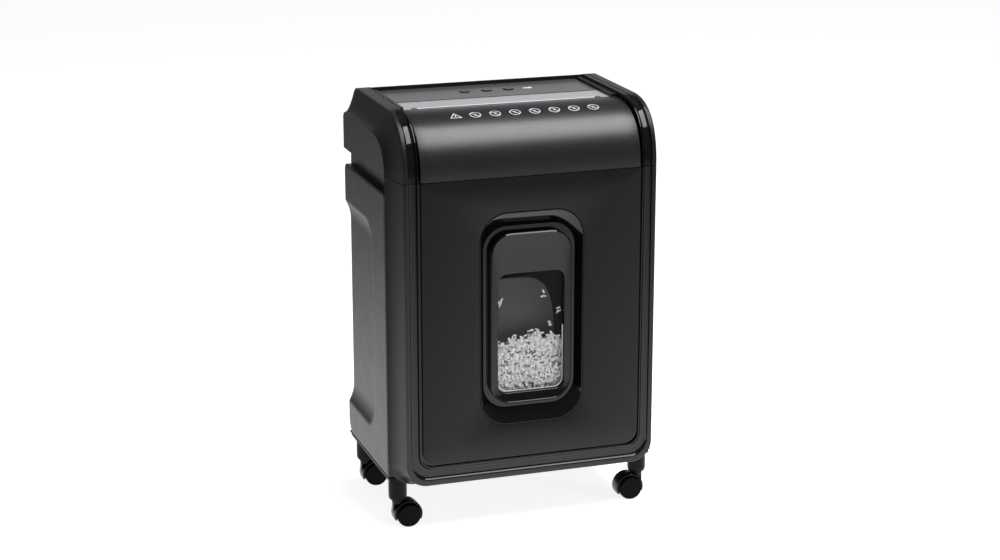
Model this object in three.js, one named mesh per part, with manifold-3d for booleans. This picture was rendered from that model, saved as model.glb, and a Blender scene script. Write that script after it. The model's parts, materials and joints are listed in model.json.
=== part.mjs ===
// Office paper shredder on four twin-wheel casters, with a pull-out bin.
// Millimetres, +Z up, front towards -Y, origin on the floor under the middle of the cabinet.
import * as THREE from 'three';
import Module from 'manifold-3d';
import { mergeVertices } from 'three/addons/utils/BufferGeometryUtils.js';

const wasm = await Module();
wasm.setup();

// ---- driving dimensions ----

const WIDTH = 361;
const DEPTH = 231;
const HEIGHT = 541;
const HALF = WIDTH / 2;
const FRONT = -DEPTH / 2;
const REAR = DEPTH / 2;
const GAP = 0.3;
const WALL = 3;

// The front face is flat up to FACE_HALF, then a hollow border flares out to the sides.
const FACE_HALF = 166;
const FLARE_DEPTH = 36;
const FLARE_STEPS = 4;

// Head, the cutting unit on top.
const HEAD_BOTTOM = 461;
const SHOULDER_DROP = 31;
const BARREL_TOP = HEIGHT - 6;
const BARREL_HALF = 144.4;
const BARREL_END = FRONT + 91;
const REAR_CORNER = 14;
const HEAD_SEGMENTS = 7;
const DECK_HALF = 139;
const PANEL_TOP = HEIGHT - 6.5;
const SLOT_Y = FRONT + 95;
const SLOT_WIDTH = 6;
const SLOT_HALF = 119.5;
const BAND_END = FRONT + 142;
const DECK_END = REAR - 9;
const THROUGH_HEAD = [HEAD_BOTTOM - 20, HEIGHT + 20];
const THROAT_BOTTOM = 512;
const INLET = [-120, 0, 480];
const INLET_RADIUS = 8;

// Glossy channel that frames the front of the head and of the bin.
const CHANNEL_OUTER = 160;
const CHANNEL_INNER = 149;
const CHANNEL_DEPTH = 3;
const CHANNEL_FLOOR = CHANNEL_DEPTH - 0.8;
const CHANNEL_END = FRONT + 62;
const CURVE_END = FRONT + 88;

// Bin front.
const FASCIA_BOTTOM = 67;
const FASCIA_TOP = HEAD_BOTTOM - 0.8;
const FASCIA_DROP = 9;
const FASCIA_WALL = 12;
const PANEL_BOTTOM = 94.6;
const RECESS_HALF = 147;
const PANEL_THICKNESS = 3;

// Window group: outline = [half width, low z, high z, corner radius].
const RING = [68.5, 138, 415.5, 37];
const RING_FLOOR = [60.5, 158, 395.5, 31];
const INSERT = [53.5, 165, 388, 27];
const WINDOW = [44, 179.5, 335.5, 12];
const RING_DEPTH = 12;
const LENS_SETBACK = 7;
const LENS_THICKNESS = 3;

// Bin tub.
const TUB_HALF = 150;
const TUB_BOTTOM = 71.5;
const TUB_TOP = 436;
const TUB_FRONT = FRONT + 16.3;
const TUB_REAR = FRONT + 212;
const TUB_WALL = 2.5;

// Cabinet.
const CABINET_BOTTOM = 71;
const CABINET_TOP = 441;
const CABINET_FRONT = FRONT + FLARE_DEPTH + GAP;
const SIDE_THICKNESS = 10.5;
const NECK_DEPTH = 9.5;
const DECK_BOTTOM = 450;
const BASE_BOTTOM = 62;
const SCOOP = { front: FRONT + 97, low: 112, high: 391, radius: 27, depth: 7, blend: 23 };
const CHUTE_TOP = HEAD_BOTTOM + 19;
const CHUTE = { half: 114, front: SLOT_Y - 30, rear: SLOT_Y + 30 };

// Casters.
const POST_X = 165;
const POST_YS = { front: FRONT + 48.6, rear: FRONT + 205 };
const POST_RADIUS = 11.9;
const POST_BOTTOM = 36;
const STEM_RADIUS = 4;
const WHEEL_RADIUS = 15.7;
const WHEEL_TRAIL = 12;
const WHEEL_INNER = 3.8;
const WHEEL_OUTER = 13.8;
const HOOD_RADIUS = 18.8;
const AXLE_RADIUS = 3;
const HOOD_TOP = WHEEL_RADIUS + HOOD_RADIUS;
const HOOD_SEGMENTS = 10;

// Cutting mechanism.
const CUTTER_Z = 493;
const SHAFT_SPACING = 26;
const DISC_COUNT = 9;
const DISC_PITCH = 25;
const DISC_RADIUS = 15;
const DISC_WIDTH = 10;
const HUB_RADIUS = 9;
const JOURNAL_RADIUS = 5;
const BUSH_RADIUS = 8;
const PLATE_X = 122;
const PLATE_THICKNESS = 3;
const PLATE_TOP = 519;
const TIE_ROD_Z = 470;
const SYNC_TEETH = 13;
const SYNC_MODULE = 2;
const DRIVE_TEETH = 21;
const IDLER_SMALL_TEETH = 9;
const DRIVE_MODULE = 2;
const IDLER_BIG_TEETH = 24;
const PINION_TEETH = 8;
const MOTOR_MODULE = 1.5;
const MOTOR_RADIUS = 23;
const MOTOR_LEFT = -40;
const MOTOR_NECK = 108;

const CUTTER_Y = { front: SLOT_Y - SHAFT_SPACING / 2, rear: SLOT_Y + SHAFT_SPACING / 2 };
const IDLER_Y = CUTTER_Y.rear + DRIVE_MODULE * (DRIVE_TEETH + IDLER_SMALL_TEETH) / 2;
const MOTOR_Y = IDLER_Y + MOTOR_MODULE * (IDLER_BIG_TEETH + PINION_TEETH) / 2;

// ---- materials ----

function finish(color, roughness, metalness = 0) {
  return new THREE.MeshStandardMaterial({ color, roughness, metalness });
}

const MATERIALS = {
  satin: finish(0x2c2c2e, 0.45),
  matte: finish(0x2a2a2b, 0.6),
  gloss: finish(0x0c0c0d, 0.12),
  inner: finish(0x1a1a1b, 0.55),
  band: finish(0xa5a5a5, 0.4),
  panel: finish(0x5e5f61, 0.25),
  button: finish(0x202022, 0.35),
  indicator: finish(0x88b8a0, 0.2),
  lens: finish(0x9a9d9e, 0.08),
  steel: finish(0x9c9ea0, 0.35, 0.9),
  cutter: finish(0x55575a, 0.3, 0.9),
  gear: finish(0xd8d4c4, 0.5),
  board: finish(0x1f5a38, 0.5),
  caster: finish(0x18181a, 0.4),
  tread: finish(0x101011, 0.65),
};

// ---- solids ----

// A closed geometry as a solid, with shared vertices merged and faces pointing out.
function solid(geometry) {
  const bare = geometry.clone();
  bare.deleteAttribute('normal');
  bare.deleteAttribute('uv');
  const merged = mergeVertices(bare, 1e-4);
  const points = merged.attributes.position.array;
  const faces = [];
  let volume = 0;
  for (let i = 0; i < merged.index.count; i += 3) {
    const [a, b, c] = merged.index.array.slice(i, i + 3);
    if (a === b || b === c || a === c) continue;
    faces.push([a, b, c]);
    const corner = (k) => new THREE.Vector3().fromArray(points, 3 * k);
    volume += corner(a).dot(corner(b).cross(corner(c)));
  }
  if (volume < 0) faces.forEach((face) => face.reverse());
  return new wasm.Manifold(new wasm.Mesh({
    numProp: 3,
    vertProperties: Float32Array.from(points),
    triVerts: Uint32Array.from(faces.flat()),
  }));
}

function geometryOf(body) {
  const data = body.getMesh();
  const geometry = new THREE.BufferGeometry();
  geometry.setAttribute('position', new THREE.BufferAttribute(new Float32Array(data.vertProperties), 3));
  geometry.setIndex(new THREE.BufferAttribute(new Uint32Array(data.triVerts), 1));
  geometry.computeVertexNormals();
  return geometry;
}

const shredder = new THREE.Group();

function place(name, body, material, position = [0, 0, 0]) {
  const mesh = new THREE.Mesh(geometryOf(body), material);
  mesh.name = name;
  mesh.position.set(...position);
  shredder.add(mesh);
}

function unite(...bodies) {
  return bodies.reduce((whole, body) => whole.add(body));
}

function box([x0, x1], [y0, y1], [z0, z1]) {
  const geometry = new THREE.BoxGeometry(x1 - x0, y1 - y0, z1 - z0);
  geometry.translate((x0 + x1) / 2, (y0 + y1) / 2, (z0 + z1) / 2);
  return solid(geometry);
}

// A rounded rectangle, from (x0, y0) to (x1, y1), whose low corners may have their own radius.
function roundedShape(x0, x1, y0, y1, radius, highRadius = radius) {
  const shape = new THREE.Shape();
  shape.moveTo(x0 + radius, y0);
  shape.lineTo(x1 - radius, y0);
  shape.absarc(x1 - radius, y0 + radius, radius, -Math.PI / 2, 0);
  shape.lineTo(x1, y1 - highRadius);
  if (highRadius > 0) shape.absarc(x1 - highRadius, y1 - highRadius, highRadius, 0, Math.PI / 2);
  shape.lineTo(x0 + highRadius, y1);
  if (highRadius > 0) shape.absarc(x0 + highRadius, y1 - highRadius, highRadius, Math.PI / 2, Math.PI);
  shape.lineTo(x0, y0 + radius);
  shape.absarc(x0 + radius, y0 + radius, radius, Math.PI, 1.5 * Math.PI);
  return shape;
}

function outlineShape([half, low, high, radius], highRadius = radius) {
  return roundedShape(-half, half, low, high, radius, highRadius);
}

function grow([half, low, high, radius], by) {
  return [half + by, low - by, high + by, radius + by];
}

function extruded(shape, length, steps = 1, curveSegments = 4) {
  return new THREE.ExtrudeGeometry(shape, { depth: length, steps, curveSegments, bevelEnabled: false });
}

const TO_X = new THREE.Matrix4().makeBasis(
  new THREE.Vector3(0, 1, 0), new THREE.Vector3(0, 0, 1), new THREE.Vector3(1, 0, 0));

// A shape in (y, z), drawn out along X from x0 to x1.
function alongX(shape, x0, x1, steps, curveSegments) {
  return extruded(shape, x1 - x0, steps, curveSegments).applyMatrix4(TO_X).translate(x0, 0, 0);
}

// A shape in (x, z), drawn out along Y from y0 to y1.
function alongY(shape, y0, y1, steps, curveSegments) {
  return extruded(shape, y1 - y0, steps, curveSegments).rotateX(Math.PI / 2).translate(0, y1, 0);
}

function alongZ(shape, z0, z1, steps, curveSegments) {
  return extruded(shape, z1 - z0, steps, curveSegments).translate(0, 0, z0);
}

// Moves every vertex of a geometry by a rule on its point.
function warp(geometry, rule) {
  const position = geometry.attributes.position;
  const point = new THREE.Vector3();
  for (let i = 0; i < position.count; i += 1) {
    rule(point.fromBufferAttribute(position, i));
    position.setXYZ(i, point.x, point.y, point.z);
  }
  return geometry;
}

function rod(axis, radius, from, to, center, segments = 14) {
  const geometry = new THREE.CylinderGeometry(radius, radius, to - from, segments);
  geometry.translate(0, (from + to) / 2, 0);
  if (axis === 'x') geometry.rotateZ(-Math.PI / 2);
  if (axis === 'z') geometry.rotateX(Math.PI / 2);
  return solid(geometry.translate(...center));
}

// ---- curves that several parts share ----

// How far back the hollow border lies when it has flared out by the fraction u.
function flareBack(u) {
  return 1 - (1 - u) ** 2;
}

// The front curve of the head's side view, at a depth under the outer profile.
function frontCurve(top, inset) {
  const front = FRONT + inset;
  const high = top - inset;
  const ease = 0.55 * inset;
  return [[front, HEAD_BOTTOM], [front, top - 27 - ease], [FRONT + 26 + ease, high], [FRONT + 80, high]];
}

// Side view of the head: a barrel front, a flat top and a round rear corner.
function headProfile(top, inset) {
  const [start, lift, lean, end] = frontCurve(top, inset);
  const rear = REAR - inset;
  const high = top - inset;
  const shape = new THREE.Shape();
  shape.moveTo(...start);
  shape.bezierCurveTo(...lift, ...lean, ...end);
  shape.lineTo(rear - REAR_CORNER, high);
  shape.absarc(rear - REAR_CORNER, high - REAR_CORNER, REAR_CORNER, Math.PI / 2, 0, true);
  shape.lineTo(rear, HEAD_BOTTOM);
  return shape;
}

// The layer between two depths under the head's outer profile, from the front seam back to end.
function headLayer(top, outer, inner, end) {
  const [start, lift, lean, finishPoint] = frontCurve(top, outer);
  const [innerStart, innerLift, innerLean, innerEnd] = frontCurve(top, inner);
  const shape = new THREE.Shape();
  shape.moveTo(...start);
  shape.bezierCurveTo(...lift, ...lean, ...finishPoint);
  shape.lineTo(end, top - outer);
  shape.lineTo(end, top - inner);
  shape.lineTo(...innerEnd);
  shape.bezierCurveTo(...innerLean, ...innerLift, ...innerStart);
  return shape;
}

// ---- head ----

function headBlock() {
  const steps = 2 * FLARE_STEPS + 1;
  const geometry = alongX(headProfile(HEIGHT, 0), -steps / 2, steps / 2, steps, HEAD_SEGMENTS);
  return solid(warp(geometry, (point) => {
    const side = Math.sign(point.x);
    const u = (Math.abs(point.x) - 0.5) / FLARE_STEPS;
    const back = flareBack(u);
    point.x = side * (FACE_HALF + (HALF - FACE_HALF) * u);
    point.y = REAR - (REAR - point.y) * (1 - back * FLARE_DEPTH / DEPTH);
    point.z = HEAD_BOTTOM + (point.z - HEAD_BOTTOM) * (1 - back * SHOULDER_DROP / (HEIGHT - HEAD_BOTTOM));
  }));
}

function makeHead() {
  const inside = FACE_HALF - WALL;
  let shell = headBlock();
  shell = shell.subtract(solid(alongX(headProfile(HEIGHT, WALL), -inside, inside, 1, HEAD_SEGMENTS)));
  shell = shell.subtract(box([-inside, inside], [FRONT + 20, REAR - WALL],
    [HEAD_BOTTOM - 5, HEAD_BOTTOM + 20]));
  shell = shell.subtract(box([-RECESS_HALF, RECESS_HALF], [FRONT - 5, BARREL_END + GAP],
    THROUGH_HEAD));
  shell = shell.subtract(box([-DECK_HALF, DECK_HALF], [BARREL_END - 1, DECK_END + GAP], THROUGH_HEAD));
  const groove = headLayer(HEIGHT, -4, CHANNEL_FLOOR, CURVE_END);
  for (const side of [-1, 1]) {
    const xs = [side * CHANNEL_INNER, side * CHANNEL_OUTER].sort((a, b) => a - b);
    const channel = solid(alongX(groove, xs[0], xs[1], 1, HEAD_SEGMENTS));
    shell = shell.subtract(channel.intersect(box([-HALF, HALF], [FRONT - 5, CHANNEL_END], THROUGH_HEAD)));
    const hollow = [side * (inside - 1), side * (HALF - WALL)].sort((a, b) => a - b);
    shell = shell.subtract(box(hollow, [FRONT + 68, REAR - WALL], [HEAD_BOTTOM - 5, HEAD_BOTTOM + 38]));
  }
  shell = shell.subtract(rod('y', INLET_RADIUS + GAP, REAR - 20, REAR + 5, INLET, 16));
  place('head_shell', shell, MATERIALS.satin);

  const cover = headLayer(BARREL_TOP, 0, WALL, BARREL_END);
  place('barrel_cover', solid(alongX(cover, -BARREL_HALF, BARREL_HALF, 1, HEAD_SEGMENTS)), MATERIALS.matte);

  const trim = headLayer(HEIGHT, 1, CHANNEL_FLOOR - GAP, CURVE_END);
  const trimRange = box([-HALF, HALF], [FRONT, CHANNEL_END - 1], THROUGH_HEAD);
  for (const [side, x] of [['left', -CHANNEL_OUTER], ['right', CHANNEL_INNER]]) {
    const strip = alongX(trim, x + GAP, x + CHANNEL_OUTER - CHANNEL_INNER - GAP, 1, HEAD_SEGMENTS);
    place(`channel_trim_${side}`, solid(strip).intersect(trimRange), MATERIALS.gloss);
  }

  const throat = unite(
    box([-DECK_HALF + GAP, DECK_HALF - GAP], [BARREL_END + 2 * GAP, BAND_END],
      [PANEL_TOP - 5.5, PANEL_TOP - 1]),
    box([-SLOT_HALF - 2.2, SLOT_HALF + 2.2], [SLOT_Y - 6, SLOT_Y + 6],
      [THROAT_BOTTOM, PANEL_TOP - 5]),
  );
  const slot = box([-SLOT_HALF, SLOT_HALF], [SLOT_Y - SLOT_WIDTH / 2, SLOT_Y + SLOT_WIDTH / 2],
    THROUGH_HEAD);
  place('slot_guide', throat.subtract(slot), MATERIALS.band);

  const tray = box([-inside + GAP, inside - GAP], [FRONT + WALL + 1, REAR - WALL - GAP],
    [HEAD_BOTTOM + GAP, HEAD_BOTTOM + WALL]);
  const chute = box([-CHUTE.half, CHUTE.half], [CHUTE.front, CHUTE.rear], [DECK_BOTTOM - 5, CHUTE_TOP]);
  place('head_tray', tray.subtract(chute), MATERIALS.inner);

  const gland = rod('y', INLET_RADIUS, REAR - 12, REAR - GAP, INLET, 16);
  const inletBore = rod('y', 3.8, REAR - 20, REAR + 5, INLET, 12);
  place('cord_inlet', gland.subtract(inletBore), MATERIALS.inner);
}

// ---- controls ----

const BUTTON_Y = (BAND_END + DECK_END) / 2;
const BUTTON_RADIUS = 7;
const BUTTONS = { button_reverse: -30, button_auto: 0, button_off: 30 };
const INDICATOR_X = 56;
const INDICATOR_HALF = [7, 2.5];

function makeControls() {
  let panel = box([-DECK_HALF + GAP, DECK_HALF - GAP], [BAND_END + GAP, DECK_END],
    [PANEL_TOP - WALL, PANEL_TOP]);
  for (const [name, x] of Object.entries(BUTTONS)) {
    const center = [x, BUTTON_Y, 0];
    panel = panel.subtract(rod('z', BUTTON_RADIUS + GAP, ...THROUGH_HEAD, center));
    const cap = rod('z', BUTTON_RADIUS, PANEL_TOP - 5, PANEL_TOP + 1.4, center);
    const flange = rod('z', BUTTON_RADIUS + 1.5, PANEL_TOP - 6, PANEL_TOP - WALL - 0.5, center);
    place(name, cap.add(flange), MATERIALS.button);
  }
  const lightShape = (extra) => {
    const [halfX, halfY] = INDICATOR_HALF.map((half) => half + extra);
    return roundedShape(INDICATOR_X - halfX, INDICATOR_X + halfX, BUTTON_Y - halfY, BUTTON_Y + halfY,
      2.4 + extra);
  };
  panel = panel.subtract(solid(alongZ(lightShape(GAP), ...THROUGH_HEAD, 1, 3)));
  place('control_panel', panel, MATERIALS.panel);
  const lens = solid(alongZ(lightShape(0), PANEL_TOP - WALL, PANEL_TOP + 0.4, 1, 3));
  place('indicator_lens', lens, MATERIALS.indicator);
}

// ---- cutting mechanism ----

// A spur gear in the YZ plane; phase turns its first tooth away from +Y.
function gear(teeth, module, from, to, [y, z], phase, bore) {
  const pitch = teeth * module / 2;
  const tip = pitch + 0.8 * module;
  const root = pitch - 1.05 * module;
  const shape = new THREE.Shape();
  const half = Math.PI / teeth;
  const corners = [[root, -0.62], [tip, -0.26], [tip, 0.26], [root, 0.62]];
  for (let tooth = 0; tooth < teeth; tooth += 1) {
    corners.forEach(([radius, share], index) => {
      const angle = phase + 2 * half * tooth + share * half;
      const point = [y + radius * Math.cos(angle), z + radius * Math.sin(angle)];
      if (tooth + index === 0) shape.moveTo(...point);
      else shape.lineTo(...point);
    });
  }
  const wheel = solid(alongX(shape, from, to));
  return bore ? wheel.subtract(rod('x', bore, from - 1, to + 1, [0, y, z], 16)) : wheel;
}

function cutter(shift, y, end) {
  let body = rod('x', HUB_RADIUS, -PLATE_X + 1.5, PLATE_X - 1.5, [0, y, CUTTER_Z], 12);
  body = body.add(rod('x', JOURNAL_RADIUS, -PLATE_X - PLATE_THICKNESS - 2, end, [0, y, CUTTER_Z], 12));
  for (let i = 0; i < DISC_COUNT; i += 1) {
    const x = (i - (DISC_COUNT - 1) / 2) * DISC_PITCH + shift;
    const disc = rod('x', DISC_RADIUS, x - DISC_WIDTH / 2, x + DISC_WIDTH / 2, [0, y, CUTTER_Z], 12);
    body = body.add(disc);
  }
  return body;
}

function stripper(shift, near, far) {
  const bar = [far, far + Math.sign(far - near) * 4].sort((a, b) => a - b);
  let body = box([-PLATE_X + 1, PLATE_X - 1], bar, [CUTTER_Z - 5, CUTTER_Z + 5]);
  for (let i = 0; i < DISC_COUNT - 1; i += 1) {
    const x = (i - (DISC_COUNT - 2) / 2) * DISC_PITCH + shift;
    const reach = [near, far].sort((a, b) => a - b);
    body = body.add(box([x - 3.5, x + 3.5], [reach[0] - 0.5, reach[1] + 0.5], [CUTTER_Z - 4, CUTTER_Z + 4]));
  }
  return body;
}

function framePlate(x0) {
  const holes = [CUTTER_Y.front, CUTTER_Y.rear].map((y) =>
    rod('x', BUSH_RADIUS + 0.2, x0 - 1, x0 + PLATE_THICKNESS + 1, [0, y, CUTTER_Z], 12));
  const outline = roundedShape(CUTTER_Y.front - 30, MOTOR_Y + 26, HEAD_BOTTOM + WALL + GAP, PLATE_TOP, 8);
  const plate = solid(alongX(outline, x0, x0 + PLATE_THICKNESS, 1, 3));
  return plate.subtract(holes[0]).subtract(holes[1]);
}

const SYNC_LAYER = [PLATE_X + 5, PLATE_X + 12];
const BIG_LAYER = [PLATE_X + 14, PLATE_X + 20];
const DRIVE_LAYER = [PLATE_X + 21, PLATE_X + 30];

function makeMechanism() {
  const half = DISC_PITCH / 4;
  place('cutter_front', cutter(-half, CUTTER_Y.front, SYNC_LAYER[1] + 1), MATERIALS.cutter);
  place('cutter_rear', cutter(half, CUTTER_Y.rear, DRIVE_LAYER[1] + 2), MATERIALS.cutter);
  place('stripper_front',
    stripper(-half, CUTTER_Y.front - HUB_RADIUS - 1.5, CUTTER_Y.front - DISC_RADIUS - 4), MATERIALS.steel);
  place('stripper_rear',
    stripper(half, CUTTER_Y.rear + HUB_RADIUS + 1.5, CUTTER_Y.rear + DISC_RADIUS + 3), MATERIALS.steel);

  const left = framePlate(-PLATE_X - PLATE_THICKNESS);
  const stud = rod('x', 3, PLATE_X + 1, DRIVE_LAYER[1] + 2, [0, IDLER_Y, CUTTER_Z], 14);
  const shaftHole = rod('x', 5, PLATE_X - 1, PLATE_X + 5, [0, MOTOR_Y, CUTTER_Z], 14);
  const right = framePlate(PLATE_X).subtract(shaftHole).add(stud);
  place('frame_plate_left', left, MATERIALS.steel);
  place('frame_plate_right', right, MATERIALS.steel);
  for (const [row, y] of [['front', CUTTER_Y.front - 25], ['rear', CUTTER_Y.rear + 24]]) {
    const tie = rod('x', 3, -PLATE_X + GAP, PLATE_X - GAP, [0, y, TIE_ROD_Z], 10);
    place(`tie_rod_${row}`, tie, MATERIALS.steel);
  }
  for (const [row, y] of Object.entries(CUTTER_Y)) {
    for (const [side, x] of [['left', -PLATE_X - PLATE_THICKNESS], ['right', PLATE_X]]) {
      const ring = rod('x', BUSH_RADIUS, x, x + PLATE_THICKNESS, [0, y, CUTTER_Z], 12);
      const hole = rod('x', JOURNAL_RADIUS + 0.2, x - 1, x + PLATE_THICKNESS + 1, [0, y, CUTTER_Z], 12);
      place(`bush_${row}_${side}`, ring.subtract(hole), MATERIALS.gear);
    }
  }

  const bore = JOURNAL_RADIUS + 0.3;
  place('sync_gear_front',
    gear(SYNC_TEETH, SYNC_MODULE, ...SYNC_LAYER, [CUTTER_Y.front, CUTTER_Z], 0, bore), MATERIALS.steel);
  place('sync_gear_rear',
    gear(SYNC_TEETH, SYNC_MODULE, ...SYNC_LAYER, [CUTTER_Y.rear, CUTTER_Z], 0, bore), MATERIALS.steel);
  place('drive_gear',
    gear(DRIVE_TEETH, DRIVE_MODULE, ...DRIVE_LAYER, [CUTTER_Y.rear, CUTTER_Z], 0, bore), MATERIALS.steel);
  const idler = unite(
    gear(IDLER_SMALL_TEETH, DRIVE_MODULE, BIG_LAYER[1] - 0.5, DRIVE_LAYER[1], [IDLER_Y, CUTTER_Z],
      Math.PI + Math.PI / IDLER_SMALL_TEETH),
    gear(IDLER_BIG_TEETH, MOTOR_MODULE, ...BIG_LAYER, [IDLER_Y, CUTTER_Z], 0),
  );
  const idlerBore = rod('x', 3.1, BIG_LAYER[0] - 1, DRIVE_LAYER[1] + 1, [0, IDLER_Y, CUTTER_Z], 14);
  place('idler_gear', idler.subtract(idlerBore), MATERIALS.gear);
  const pinion = gear(PINION_TEETH, MOTOR_MODULE, ...BIG_LAYER, [MOTOR_Y, CUTTER_Z],
    Math.PI + Math.PI / PINION_TEETH);
  const motorShaft = rod('x', 2.5, PLATE_X - 8, BIG_LAYER[0] + 1, [0, MOTOR_Y, CUTTER_Z], 10);
  place('motor_shaft', pinion.add(motorShaft), MATERIALS.steel);
  const motor = unite(
    rod('x', MOTOR_RADIUS, MOTOR_LEFT, MOTOR_NECK, [0, MOTOR_Y, CUTTER_Z], 20),
    rod('x', MOTOR_RADIUS - 6, MOTOR_NECK - 8, PLATE_X - GAP, [0, MOTOR_Y, CUTTER_Z], 16),
  );
  place('motor', motor.subtract(rod('x', 3, PLATE_X - 8.5, PLATE_X + 1, [0, MOTOR_Y, CUTTER_Z], 12)),
    MATERIALS.inner);
}

// Front of the interlock switch, which the lever behind it presses.
const INTERLOCK_Y = SLOT_Y - 52;

function makeElectrics() {
  const boardY = REAR - 12;
  const board = unite(
    box([-100, 20], [boardY, boardY + 1.6], [472, 522]),
    box([-90, -66], [boardY - 12, boardY + 0.5], [480, 500]),
    box([-50, -38], [boardY - 9, boardY + 0.5], [484, 512]),
    box([-14, 6], [boardY - 7, boardY + 0.5], [508, 519]),
  );
  place('control_board', board, MATERIALS.board);
  place('paper_sensor', box([-7, 7], [SLOT_Y + 6 + GAP, SLOT_Y + 14], [516, 528]), MATERIALS.inner);
  place('interlock_switch', box([-128, -104], [INTERLOCK_Y, INTERLOCK_Y + 14], [440.5, DECK_BOTTOM - GAP]),
    MATERIALS.inner);
  const lever = unite(
    box([-120, -112], [INTERLOCK_Y + 14.6, INTERLOCK_Y + 32], [441.5, 443]),
    rod('x', 2, -120, -112, [0, INTERLOCK_Y + 31, 442.5], 12),
  );
  place('interlock_lever', lever, MATERIALS.steel);
}

// ---- bin ----

// The bin front flares out and down behind its flat face, like the border of the head.
function fasciaBlock() {
  const shape = roundedShape(-FACE_HALF, FACE_HALF, FASCIA_BOTTOM, FASCIA_TOP, 27, 0);
  const geometry = alongY(shape, 0, FLARE_STEPS, FLARE_STEPS, 5);
  const height = FASCIA_TOP - FASCIA_BOTTOM;
  return solid(warp(geometry, (point) => {
    const u = point.y / FLARE_STEPS;
    point.x *= 1 + u * (HALF - FACE_HALF) / FACE_HALF;
    point.z = FASCIA_TOP - (FASCIA_TOP - point.z) * (1 + u * FASCIA_DROP / height);
    point.y = FRONT + FLARE_DEPTH * flareBack(u);
  }));
}

function makeBinFront() {
  let fascia = fasciaBlock();
  fascia = fascia.subtract(box([-163, 163], [FRONT + FASCIA_WALL, FRONT + 60], [TUB_BOTTOM - 2, 470]));
  const channelShape = roundedShape(-CHANNEL_OUTER, CHANNEL_OUTER, FASCIA_BOTTOM + 7, 470, 22, 0);
  const islandShape = roundedShape(-CHANNEL_INNER, CHANNEL_INNER, PANEL_BOTTOM - 4.6, 480, 20, 0);
  const channel = solid(alongY(channelShape, FRONT - 1, FRONT + CHANNEL_DEPTH)).subtract(
    solid(alongY(islandShape, FRONT - 2, FRONT + 10)));
  fascia = fascia.subtract(channel);
  const recess = roundedShape(-RECESS_HALF, RECESS_HALF, PANEL_BOTTOM - 2.6, 470, 19, 0);
  fascia = fascia.subtract(solid(alongY(recess, FRONT - 1, FRONT + PANEL_THICKNESS + GAP)));
  fascia = fascia.subtract(solid(alongY(outlineShape(grow(RING, 0.5)), FRONT - 1, FRONT + 60)));
  place('bin_fascia', fascia, MATERIALS.gloss);

  const panelShape = roundedShape(-BARREL_HALF, BARREL_HALF, PANEL_BOTTOM, FASCIA_TOP, 17, 0);
  const panel = solid(alongY(panelShape, FRONT, FRONT + PANEL_THICKNESS));
  place('front_panel', panel.subtract(solid(alongY(outlineShape(grow(RING, 0.5)), FRONT - 1, FRONT + 9))),
    MATERIALS.matte);

  const middle = (RING[1] + RING[2]) / 2;
  const dish = warp(alongY(outlineShape(grow(RING, -1.5)), 0, 1), (point) => {
    const shrink = point.y;
    point.x *= 1 - shrink * (1 - RING_FLOOR[0] / (RING[0] - 1.5));
    const halfHeight = (RING[2] - RING[1]) / 2 - 1.5;
    point.z = middle + (point.z - middle) * (1 - shrink * (1 - (RING_FLOOR[2] - middle) / halfHeight));
    point.y = FRONT - 0.5 + (RING_DEPTH + 0.5) * point.y;
  });
  const ring = solid(alongY(outlineShape(RING), FRONT + 0.2, FRONT + RING_DEPTH + 2.5));
  const insertHole = solid(alongY(outlineShape(grow(INSERT, 0.4)), FRONT, FRONT + 30));
  place('window_ring', ring.subtract(solid(dish)).subtract(insertHole), MATERIALS.gloss);

  const rebate = grow(WINDOW, 3.3);
  const insert = solid(alongY(outlineShape(INSERT), FRONT + 0.5, FRONT + RING_DEPTH + 3));
  place('window_insert', insert
    .subtract(solid(alongY(outlineShape(WINDOW), FRONT, FRONT + 30)))
    .subtract(solid(alongY(outlineShape(rebate), FRONT + LENS_SETBACK, FRONT + 30))), MATERIALS.gloss);
  const lens = grow(WINDOW, 3);
  const lensFront = FRONT + LENS_SETBACK + GAP;
  place('window_lens', solid(alongY(outlineShape(lens), lensFront, lensFront + LENS_THICKNESS)),
    MATERIALS.lens);
}

function makeBinTub() {
  const outer = roundedShape(-TUB_HALF, TUB_HALF, TUB_FRONT, TUB_REAR, 18);
  const inner = roundedShape(-TUB_HALF + TUB_WALL, TUB_HALF - TUB_WALL, TUB_FRONT + TUB_WALL,
    TUB_REAR - TUB_WALL, 18 - TUB_WALL);
  let tub = solid(alongZ(outer, TUB_BOTTOM, TUB_TOP, 1, 4));
  tub = tub.subtract(solid(alongZ(inner, TUB_BOTTOM + TUB_WALL, TUB_TOP + 5, 1, 4)));
  tub = tub.subtract(solid(alongY(outlineShape(grow(WINDOW, 4)), FRONT, TUB_FRONT + 10)));
  place('bin_tub', tub, MATERIALS.inner);
}

// ---- cabinet ----

function scoop(side) {
  const { front, low, high, radius, depth, blend } = SCOOP;
  const far = REAR + 60;
  const steps = 5;
  const middle = (low + high) / 2;
  const geometry = alongX(roundedShape(front, far, low, high, radius), 0, steps, steps, 4);
  return solid(warp(geometry, (point) => {
    const u = point.x / steps;
    const sunk = u * u * (3 - 2 * u);
    point.y = far - (far - point.y) * (1 - u * blend / (far - front));
    point.z = middle + (point.z - middle) * (1 - u * blend / (high - middle));
    point.x = side * (HALF - depth * sunk + (u === 0 ? 0.01 : 0));
  }));
}

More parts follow.
